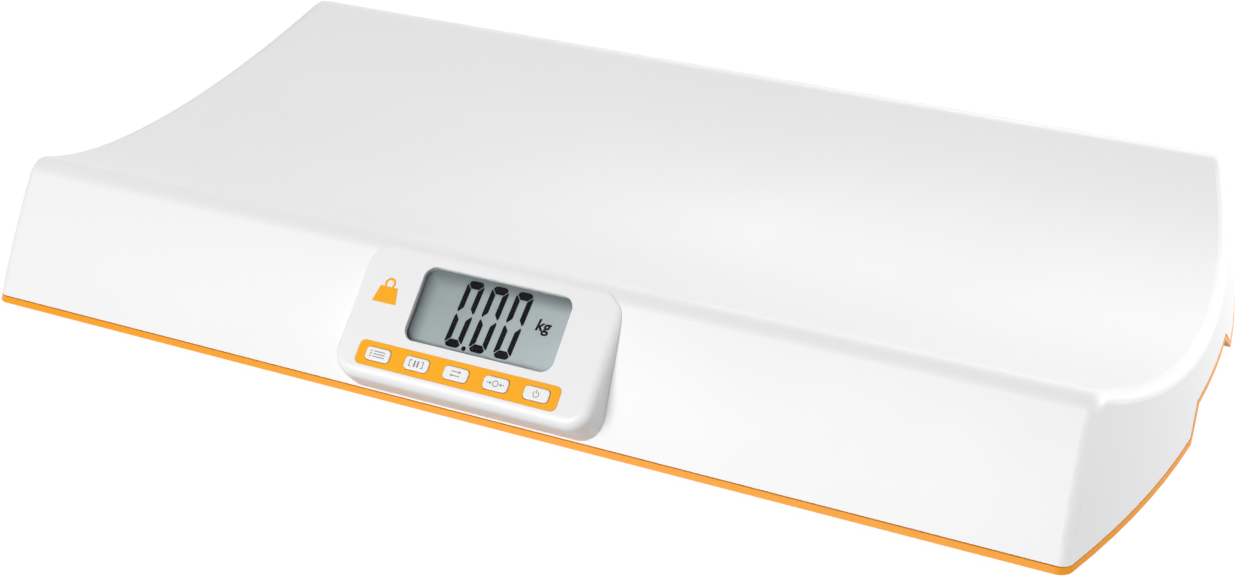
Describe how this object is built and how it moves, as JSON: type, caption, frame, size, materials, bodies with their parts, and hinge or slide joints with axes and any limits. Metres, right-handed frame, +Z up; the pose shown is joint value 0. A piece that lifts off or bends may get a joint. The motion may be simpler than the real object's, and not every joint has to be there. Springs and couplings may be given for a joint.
{
  "type": "digital baby weighing scale",
  "caption": "Digital baby scale with a long trough-shaped tray, a tilted front display with push buttons, hand holds in both ends, a battery door below and load-sensing feet.",
  "frame": {"origin": "under the middle of the whole scale, on the surface that it stands on", "axes": "+X along the tray to the right of a person who reads the display, the display faces -Y, +Z up"},
  "size_m": [0.6154, 0.3605, 0.0682],
  "materials": {
    "white_shell": "satin moulded white plastic",
    "white_housing": "satin moulded white plastic",
    "white_button": "smooth moulded white plastic",
    "orange_base": "satin moulded orange plastic",
    "orange_trim": "satin moulded orange plastic",
    "clear_window": "clear window",
    "lcd_glass": "grey-green liquid crystal glass",
    "inner_plastic": "plain moulded plastic",
    "soft_rubber": "banded conductive rubber",
    "circuit_board": "green solder mask",
    "board_parts": "black resin",
    "contact_metal": "plated spring steel",
    "screw_steel": "zinc-plated",
    "battery_metal": "plain cell jacket",
    "cell_steel": "stamped steel",
    "foot_plastic": "moulded plastic",
    "sole_rubber": "grey rubber",
    "lead_sleeve": "soft sleeve"
  },
  "bodies": {
    "scale": {"top_shell": "white_shell", "display_bezel": "white_housing", "base_pan": "orange_base", "button_trim": "orange_trim", "lcd_lens": "clear_window", "lcd_panel": "lcd_glass", "lcd_holder": "inner_plastic", "zebra_strips": "soft_rubber", "main_board": "circuit_board", "board_components": "board_parts", "board_sockets": "inner_plastic", "tact_switches": "board_parts", "display_back_cover": "inner_plastic", "battery_positive_contacts": "contact_metal", "battery_negative_contacts": "contact_metal", "shell_screws": "screw_steel", "load_cell_screws": "screw_steel", "back_cover_screws": "screw_steel", "display_screws": "screw_steel", "battery_lead": "lead_sleeve", "battery_1": "battery_metal", "battery_2": "battery_metal", "battery_3": "battery_metal", "battery_4": "battery_metal", "rear_right_load_cell": "cell_steel", "rear_right_load_cell_holder": "inner_plastic", "rear_right_foot_cup": "foot_plastic", "rear_right_foot_pad": "sole_rubber", "rear_right_cell_lead": "lead_sleeve", "rear_left_load_cell": "cell_steel", "rear_left_load_cell_holder": "inner_plastic", "rear_left_foot_cup": "foot_plastic", "rear_left_foot_pad": "sole_rubber", "rear_left_cell_lead": "lead_sleeve", "front_left_load_cell": "cell_steel", "front_left_load_cell_holder": "inner_plastic", "front_left_foot_cup": "foot_plastic", "front_left_foot_pad": "sole_rubber", "front_left_cell_lead": "lead_sleeve", "front_right_load_cell": "cell_steel", "front_right_load_cell_holder": "inner_plastic", "front_right_foot_cup": "foot_plastic", "front_right_foot_pad": "sole_rubber", "front_right_cell_lead": "lead_sleeve"},
    "memory_button_body": {"memory_button": "white_button"},
    "hold_button_body": {"hold_button": "white_button"},
    "unit_button_body": {"unit_button": "white_button"},
    "tare_button_body": {"tare_button": "white_button"},
    "power_button_body": {"power_button": "white_button"},
    "battery_door_body": {"battery_door": "orange_base"}
  },
  "joints": [
    {"name": "memory_press", "type": "slide", "parent": "scale", "child": "memory_button_body", "axis": [0, 0.6896, -0.7242], "range_m": [0, 0.0005], "stiffness_N_per_m": 2000, "springref_m": -0.0005},
    {"name": "hold_press", "type": "slide", "parent": "scale", "child": "hold_button_body", "axis": [0, 0.6896, -0.7242], "range_m": [0, 0.0005], "stiffness_N_per_m": 2000, "springref_m": -0.0005},
    {"name": "unit_press", "type": "slide", "parent": "scale", "child": "unit_button_body", "axis": [0, 0.6896, -0.7242], "range_m": [0, 0.0005], "stiffness_N_per_m": 2000, "springref_m": -0.0005},
    {"name": "tare_press", "type": "slide", "parent": "scale", "child": "tare_button_body", "axis": [0, 0.6896, -0.7242], "range_m": [0, 0.0005], "stiffness_N_per_m": 2000, "springref_m": -0.0005},
    {"name": "power_press", "type": "slide", "parent": "scale", "child": "power_button_body", "axis": [0, 0.6896, -0.7242], "range_m": [0, 0.0005], "stiffness_N_per_m": 2000, "springref_m": -0.0005},
    {"name": "battery_door_swing", "type": "hinge", "parent": "scale", "child": "battery_door_body", "pos_m": [0.02705, 0.03488, 0.0034], "axis": [0, -1, 0], "range_deg": [0, 75]}
  ]
}
